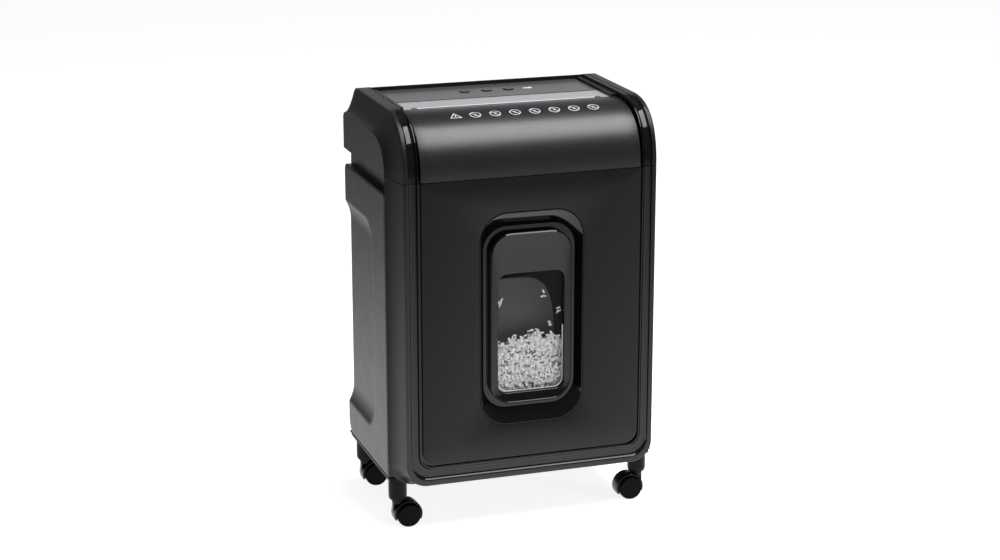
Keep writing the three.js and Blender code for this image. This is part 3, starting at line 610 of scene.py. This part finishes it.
def make_deck():
    slot_half = 119.5
    slot_rear = span("paper_sensor", 1)[0] - 3.3
    front = BARREL_END + 0.7
    rear = span("control_panel", 1)[0] - 0.4
    # The white lip along the slot's rear edge is a painted highlight: the bright line of reflected light there is
    # given as white colour.
    lip = block((-slot_half - 1, slot_half + 1), (slot_rear + 0.1, slot_rear + 1.5),
                (BAND_TOP - 1, BAND_TOP + 0.5), 0.4)
    piece("slot_lip_highlight", lip, "slot_band", material=PRINT_AND_HIGHLIGHT)
    ends = []
    for side in (-1, 1):
        xs = sorted((side * slot_half, side * (slot_half + 7)))
        ends.append(block(xs, (front, slot_rear + 1.2), (BAND_TOP - 0.5, BAND_TOP + 0.9), 0.5))
    piece("slot_end_caps", joined(*ends), "textured_black")
    seam = block((-DECK_HALF + 1, DECK_HALF - 1), (rear - 0.4, rear + 0.2),
                 (BAND_TOP - 0.2, BAND_TOP + 0.5), 0.1)
    piece("deck_seam", seam, "inner_black")


def cut(thing, cutters):
    """Takes solids away from a piece for good."""
    for index, shape in enumerate(cutters):
        mesh = bpy.data.meshes.new(f"cutter_{index}")
        mesh.from_pydata([tuple(c * MM for c in p) for p in shape[0]], [], shape[1])
        build = bmesh.new()
        build.from_mesh(mesh)
        bmesh.ops.recalc_face_normals(build, faces=build.faces)
        build.to_mesh(mesh)
        build.free()
        tool = bpy.data.objects.new(f"cutter_{index}", mesh)
        bpy.context.scene.collection.objects.link(tool)
        modifier = thing.modifiers.new("cut", "BOOLEAN")
        modifier.operation = "DIFFERENCE"
        modifier.solver = "EXACT"
        modifier.object = tool
        with bpy.context.temp_override(object=thing, active_object=thing):
            bpy.ops.object.modifier_apply(modifier=modifier.name)
        bpy.data.objects.remove(tool)
    thing.data.shade_smooth()
    thing.data.set_sharp_from_angle(angle=math.radians(32))


def make_controls():
    names = ("button_reverse", "button_auto", "button_off")
    low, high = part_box("control_panel")
    ys = (low[1] / MM, high[1] / MM)
    # The plate's grey colour is painted reflection of the bright surroundings on glossy black.
    plate = block((-DECK_HALF + 0.4, DECK_HALF - 0.4), ys, (PANEL_TOP - 3, PANEL_TOP), 0.5)
    panel = piece("control_plate", plate, "panel_grey", replaces=["control_panel"])
    well = [(7.35, PANEL_TOP - 9), (7.35, PANEL_TOP - 0.5), (7.9, PANEL_TOP + 0.1), (7.9, ABOVE_HEAD)]
    crown = [(8.4, -6), (8.4, -3.6), (6.9, -3.6), (7, 0.4), (6.7, 1.0), (6.1, 1.3), (4.5, 1.15), (2, 1.0)]
    wells = []
    for name in names:
        low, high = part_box(name)
        centre = ((low[0] + high[0]) / 2 / MM, (low[1] + high[1]) / 2 / MM, 0)
        wells.append(lathe(well, "z", centre))
        cap = lathe([(radius, PANEL_TOP + height) for radius, height in crown], "z", centre)
        piece(f"{name}_cap", cap, "button_black", name, [name])
    low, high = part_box("indicator_lens")
    xs = (low[0] / MM, high[0] / MM)
    light_ys = (low[1] / MM, high[1] / MM)
    wells.append(block((xs[0] - 0.3, xs[1] + 0.3), (light_ys[0] - 0.3, light_ys[1] + 0.3),
                       (500, ABOVE_HEAD), 2))
    cut(panel, wells)
    piece("indicator_bar", block(xs, light_ys, (PANEL_TOP - 3, PANEL_TOP + 0.4), 1.0), "indicator",
          replaces=["indicator_lens"])


def flat_ring(cx, cz, radius, width, sides, turn=0.0):
    """A flat outline of a polygon or circle as quads in its own plane."""
    rings = []
    for r in (radius, radius - width):
        corners = [Vector((cx + r * math.cos(a), cz + r * math.sin(a)))
                   for a in (2 * math.pi * i / sides + turn for i in range(sides))]
        between = 12 if sides < 6 else 1
        rings.append([tuple(a.lerp(b, k / between)) for a, b in zip(corners, corners[1:] + corners[:1])
                      for k in range(between)])
    return rings


def bar(cx, cz, length, width, turn):
    along = Vector((math.cos(turn), math.sin(turn))) * length / 2
    across = Vector((-math.sin(turn), math.cos(turn))) * width / 2
    middle = Vector((cx, cz))
    return [tuple(middle + along * a + across * b) for a, b in ((-1, -1), (1, -1), (1, 1), (-1, 1))]


def make_marks():
    """A row of plain round signs and one triangle, printed on the barrel in front of the slot."""
    curve = front_curve(BARREL_TOP, 200)
    lengths = [0.0]
    for a, b in zip(curve, curve[1:]):
        lengths.append(lengths[-1] + (b - a).length)

    def on_barrel(u, v, lift):
        """The point at u across and v up the barrel's surface from the row's line."""
        reach = row + v
        if reach >= lengths[-1]:
            y, z = curve[-1].x + reach - lengths[-1], BARREL_TOP
            return (u, y, z + lift)
        i = max(np.searchsorted(lengths, reach) - 1, 0)
        t = (reach - lengths[i]) / (lengths[i + 1] - lengths[i])
        p = curve[i].lerp(curve[i + 1], t)
        along = (curve[i + 1] - curve[i]).normalized()
        return (u, p.x - along.y * lift, p.y + along.x * lift)

    row = lengths[-1] - 31
    shapes = []
    for index in range(8):
        x = -84.5 + index * 26.1
        if index == 0:
            rings = flat_ring(x, -1.2, 9, 2.2, 3, math.pi / 2)
            bars = [bar(x, -0.4, 4.2, 1.2, math.pi / 2)]
        else:
            rings = flat_ring(x, 0, 7.2, 1.0, 40)
            bars = [bar(x, 0, 12.8, 1.0, -math.pi / 4), bar(x - 0.2, 1.7, 5, 0.8, 0),
                    bar(x + 0.3, -1.9, 4, 0.8, 0)]
        layers = [[on_barrel(u, v, lift) for u, v in ring] for ring, lift in
                  ((rings[0], PRINT_BASE), (rings[0], PRINT_LIFT), (rings[1], PRINT_LIFT),
                   (rings[1], PRINT_BASE))]
        shapes.append(loft(layers, closed=True))
        for quad in bars:
            shapes.append(loft([[on_barrel(u, v, lift) for u, v in quad]
                                for lift in (PRINT_BASE, PRINT_LIFT)]))
    piece("barrel_marks", joined(*shapes), "textured_black", material=PRINT_AND_HIGHLIGHT)


# ---------------------------------------------------------------- cabinet

def make_side_panel(hand, side):
    """A height field over the panel's side view: a scoop open to the rear sinks into it."""
    node = f"side_panel_{hand}"
    low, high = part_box(node)
    front = low[1] / MM
    top = 441.0
    bottom = CABINET_LOW
    scoop_front, scoop_low, scoop_high = FRONT + 97, 112.0, 391.0
    scoop_radius, scoop_depth, blend = 34.0, 7.0, 25.0
    low_radius, high_radius = 20.0, 10.0

    def sunk(y, z):
        inside_y = y - scoop_front
        inside_z = min(z - scoop_low, scoop_high - z)
        if inside_y < scoop_radius and inside_z < scoop_radius:
            gap = math.hypot(scoop_radius - inside_y, scoop_radius - inside_z)
            inside = scoop_radius - gap
        else:
            inside = min(inside_y, inside_z)
        t = min(max(inside / blend, 0), 1)
        return scoop_depth * (1 - (1 - t) ** 2)

    def rear_at(z):
        if z < bottom + low_radius:
            return REAR - low_radius + math.sqrt(max(low_radius ** 2 - (bottom + low_radius - z) ** 2, 0))
        if z > top - high_radius:
            return REAR - high_radius + math.sqrt(max(high_radius ** 2 - (z - top + high_radius) ** 2, 0))
        return REAR

    rows = list(bottom + low_radius * (1 - np.cos(np.radians(np.linspace(0, 90, 8)))))
    rows += list(np.linspace(bottom + low_radius + 3, top - high_radius - 3, 130))
    rows += list(top - high_radius + high_radius * np.sin(np.radians(np.linspace(0, 90, 7))))
    columns = 56
    back = HALF - 10.5
    points = []
    for z in rows:
        rear = rear_at(z)
        line = []
        for i in range(columns + 1):
            y = front + (rear - front) * i / columns
            edge = min(y - front, rear - y, z - bottom, top - z)
            rounding = 0.9 * (1 - min(edge / 1.6, 1)) ** 2
            line.append((side * (HALF - sunk(y, z) - rounding), y, z))
        points.append([(side * back, front, z), *line, (side * back, rear, z)])
    shape = loft(points)
    neck = block(sorted((side * (HALF - 12.5), side * (HALF - 9.5))), (front, REAR),
                 (top - 6, SEAM - 0.3), 0.4)
    piece(f"{node}_skin", joined(shape, neck), "satin_body", replaces=[node])


def swivel_place(row, hand):
    joint = next(j for j in frame["joints"] if j["name"] == f"caster_{row}_{hand}_swivel")
    return (joint["pos_m"][0] / MM, joint["pos_m"][1] / MM)


def make_base():
    low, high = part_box("base_plate")
    xs = (low[0] / MM, high[0] / MM)
    ys = (low[1] / MM, high[1] / MM)
    plate = block(xs, ys, (62, 70.7), 1.2)
    lip = block((xs[0] - 1.6, xs[1] + 1.6), (ys[0], ys[1] + 0.8), (67.2, 69.6), 0.7)
    post = [(4.4, 58), (4.4, 36), (9.4, 36), (10.6, 36.6), (11.5, 38.4), (11.9, 42), (11.9, 63)]
    parts = [plate, lip]
    for row in ("front", "rear"):
        for hand in ("left", "right"):
            parts.append(lathe(post, "z", (*swivel_place(row, hand), 0), 40))
    piece("base_tray", joined(*parts), "inner_black", replaces=["base_plate"])


# ---------------------------------------------------------------- casters

def make_caster(row, hand):
    stem_x, stem_y = swivel_place(row, hand)
    low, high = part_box(f"wheel_{row}_{hand}_outer")
    wheel_x = (low[0] + high[0]) / 2 / MM
    axle_z = (low[2] + high[2]) / 2 / MM
    wheel_radius = (high[2] - low[2]) / 2 / MM
    body = f"caster_{row}_{hand}"
    toward = 1 if wheel_x > stem_x else -1
    hood_radius = wheel_radius + 3.1

    half_section = [(hood_radius - 2.2, 9.9), (hood_radius - 0.9, 9.9), (hood_radius - 0.3, 9.2),
                    (hood_radius, 7)]
    section = [(r, -y) for r, y in half_section] + half_section[::-1]
    turn = np.radians(np.linspace(-20, 205, 40))
    rings = [[(wheel_x - toward * r * math.cos(a), stem_y + y, axle_z + r * math.sin(a)) for r, y in section]
             for a in turn[::-1]]
    hood = loft(rings)
    web_ring = [(wheel_x, axle_z)] + [(wheel_x - toward * (hood_radius - 1.5) * math.cos(a),
                                       axle_z + (hood_radius - 1.5) * math.sin(a)) for a in turn]
    web = loft([[(x, stem_y + y, z) for x, z in web_ring] for y in (-3.3, 3.3)])
    top = axle_z + hood_radius
    boss = lathe([(7.2, top - 3.6), (7.9, top - 1), (7.9, top + 0.3), (7.0, top + 0.9), (4, top + 0.9),
                  (4, 58)], "z", (stem_x, stem_y, 0), 40)
    arm = block(sorted((stem_x - 7, stem_x + 7)), (stem_y - 3.3, stem_y + 3.3), (axle_z + 2, top - 0.5), 0.5)
    axle = lathe([(2.9, -12), (2.9, 12)], "y", (wheel_x, stem_y, axle_z), 24)
    shape = joined(hood, web, boss, arm, axle)
    piece(f"{body}_hood", shape, "caster_black", body, [f"caster_hood_{row}_{hand}"])

    for end, out in (("outer", -1), ("inner", 1)):
        node = f"wheel_{row}_{hand}_{end}"
        profile = [(3.3, 12.6), (3.3, 3.8), (wheel_radius - 1, 3.8), (wheel_radius, 4.6),
                   (wheel_radius, 11.6), (wheel_radius - 0.35, 12.8), (wheel_radius - 1.2, 13.6),
                   (wheel_radius - 2.2, 13.8),
                   (wheel_radius - 2.8, 13.3), (wheel_radius - 3.6, 13.2), (5, 13.5), (1, 13.6)]
        wheel = lathe([(r, out * h) for r, h in profile], "y", (wheel_x, stem_y, axle_z), 64)
        piece(f"{node}_disc", wheel, "wheel_black", node, [node])


# ---------------------------------------------------------------- shredded paper behind the window

def make_shreds():
    chance = random.Random(7)
    half, low, rear = 47.2, 176.3, FRONT + 30
    front = FRONT + 10.9

    def fill(x):
        return 243 + 4 * math.sin(x / 11.0 + 1) + 2.5 * math.sin(x / 4.1)

    # The heap behind the loose strips is coloured as paper in shade, a painted shade that darkens the gaps between
    # the strips.
    rings = []
    for x in np.linspace(-half, half, 40):
        rings.append([(x, front + 2.2, low), (x, front + 2.2, fill(x) - 7), (x, front + 6, fill(x) - 3),
                      (x, rear, fill(x) - 2), (x, rear, low)])
    piece("paper_heap", loft(rings), "inner_black", "bin", material=PAPER_PAINTED_SHADE)

    def strip(x, y, z, length, width_mm):
        turn = chance.uniform(0, math.pi)
        tip = chance.uniform(-0.45, 0.45)
        curl = chance.uniform(-1.0, 1.0)
        along = Vector((math.cos(turn), tip, math.sin(turn))).normalized()
        across = along.cross(Vector((chance.uniform(-0.5, 0.5), 1, chance.uniform(-0.5, 0.5)))).normalized()
        out = along.cross(across)
        rings = []
        for t in (-1, -0.35, 0.35, 1):
            middle = Vector((x, y, z)) + along * (t * length / 2) + out * (curl * (t * t - 0.5))
            rings.append([tuple(middle + across * (a * width_mm / 2) + out * (b * 0.1))
                          for a, b in ((-1, -1), (1, -1), (1, 1), (-1, 1))])
        points, faces = loft(rings)
        points = [(px, max(py, front - 0.3), pz) for px, py, pz in points]
        return points, faces

    strips = []
    for _ in range(1150):
        x = chance.uniform(-half + 3, half - 3)
        z = low + 3 + (fill(x) - low) * chance.random()
        y = front + chance.uniform(0.5, 3.6)
        strips.append(strip(x, y, z, chance.uniform(4, 9), chance.uniform(1.6, 3.1)))
    for _ in range(34):
        x = chance.uniform(-half + 6, half - 6)
        z = fill(x) + chance.uniform(0, 9)
        strips.append(strip(x, front + 0.8, z, 5, 2.0))
    for x, z, count in ((-39, 297, 7), (18, 304, 3), (26, 262, 3), (10, 256, 4), (40, 281, 3)):
        for _ in range(count):
            strips.append(strip(x + chance.uniform(-3, 3), front + 0.6, z + chance.uniform(-4, 4), 5, 2.0))
    piece("paper_shreds", joined(*strips), "inner_black", "bin", material=PAPER)


# ---------------------------------------------------------------- carried-over pieces

def finish_carried_over():
    slots = {entry["node"]: entry["material_slot"] for entry in frame["record"]["subparts"]}
    for name, thing in frame["nodes"].items():
        material = MATERIALS[slots[name]]
        if not thing.material_slots:
            thing.data.materials.append(material)
        for holder in thing.material_slots:
            holder.material = material


# ---------------------------------------------------------------- stage, lights, camera

def make_stage():
    material = bpy.data.materials.new("pale_floor")
    material.use_nodes = True
    shader = material.node_tree.nodes["Principled BSDF"]
    shader.inputs["Base Color"].default_value = (0.6, 0.6, 0.6, 1)
    shader.inputs["Roughness"].default_value = 1.0
    shader.inputs["Specular IOR Level"].default_value = 0.0
    shader.inputs["Emission Color"].default_value = (1, 1, 1, 1)
    nodes = material.node_tree.nodes
    links = material.node_tree.links
    place = nodes.new("ShaderNodeTexCoord")
    stretch = nodes.new("ShaderNodeMapping")
    stretch.inputs["Scale"].default_value = (0.45, 0.45, 0.45)
    links.new(place.outputs["Object"], stretch.inputs["Vector"])
    fade = nodes.new("ShaderNodeTexGradient")
    fade.gradient_type = "QUADRATIC_SPHERE"
    links.new(stretch.outputs["Vector"], fade.inputs["Vector"])
    bounce = nodes.new("ShaderNodeMapRange")
    bounce.inputs["To Min"].default_value = 0.05
    bounce.inputs["To Max"].default_value = 1.6
    links.new(fade.outputs["Fac"], bounce.inputs["Value"])
    path = nodes.new("ShaderNodeLightPath")
    seen = nodes.new("ShaderNodeMapRange")
    links.new(path.outputs["Is Camera Ray"], seen.inputs["Value"])
    links.new(bounce.outputs["Result"], seen.inputs["To Min"])
    seen.inputs["To Max"].default_value = 0.85
    links.new(seen.outputs["Result"], shader.inputs["Emission Strength"])
    mesh = bpy.data.meshes.new("floor")
    size = 20.0
    corners = [(-size, -size, 0), (size, -size, 0), (size, size, 0), (-size, size, 0)]
    mesh.from_pydata(corners, [], [(0, 1, 2, 3)])
    floor = bpy.data.objects.new("floor", mesh)
    bpy.context.scene.collection.objects.link(floor)
    mesh.materials.append(material)


def area_light(name, place, target, size, power, glossy=True):
    light = bpy.data.lights.new(name, "AREA")
    light.shape = "RECTANGLE"
    light.size, light.size_y = size
    light.energy = power
    lamp = bpy.data.objects.new(name, light)
    lamp.location = place
    lamp.rotation_euler = (Vector(target) - Vector(place)).to_track_quat("-Z", "Y").to_euler()
    lamp.visible_camera = False
    lamp.visible_glossy = glossy
    bpy.context.scene.collection.objects.link(lamp)


def make_lights():
    world = bpy.data.worlds.new("studio")
    world.use_nodes = True
    world.node_tree.nodes["Background"].inputs["Color"].default_value = (0.9, 0.93, 1.0, 1)
    world.node_tree.nodes["Background"].inputs["Strength"].default_value = 0.16
    bpy.context.scene.world = world
    area_light("softbox", (0.65, -0.62, 2.3), (0.65, -0.55, 0.5), (1.6, 1.9), 78)
    area_light("backdrop", (0.8, 2.4, 0.85), (0, 0, 0.5), (3.0, 0.8), 4.5)
    area_light("left_low", (-1.3, 0.1, 0.22), (-0.18, 0.05, 0.12), (1.0, 0.3), 2.5, glossy=False)
    area_light("right_strip", (1.9, -1.6, 0.9), (0.1, 0, 0.4), (0.2, 1.5), 8, glossy=False)


def make_camera():
    yaw, pitch = math.radians(18.6), math.radians(15.75)
    camera = bpy.data.cameras.new("camera")
    camera.sensor_width = 36
    camera.lens = 79.88
    holder = bpy.data.objects.new("camera", camera)
    holder.location = (-0.8925, -2.6411, 1.0815)
    forward = Vector((math.sin(yaw) * math.cos(pitch), math.cos(yaw) * math.cos(pitch), -math.sin(pitch)))
    holder.rotation_euler = forward.to_track_quat("-Z", "Y").to_euler()
    bpy.context.scene.collection.objects.link(holder)
    bpy.context.scene.camera = holder
    bpy.context.scene.view_settings.view_transform = "Standard"


make_camera()
finish_carried_over()
make_fascia()
make_front_panel()
make_window()
make_head_casing()
make_rear_rim()
make_rim_ribs()
make_barrel()
make_deck()
make_controls()
make_marks()
for hand, side in (("left", -1), ("right", 1)):
    make_side_panel(hand, side)
    for row in ("front", "rear"):
        make_caster(row, hand)
make_base()
make_shreds()
make_stage()
make_lights()
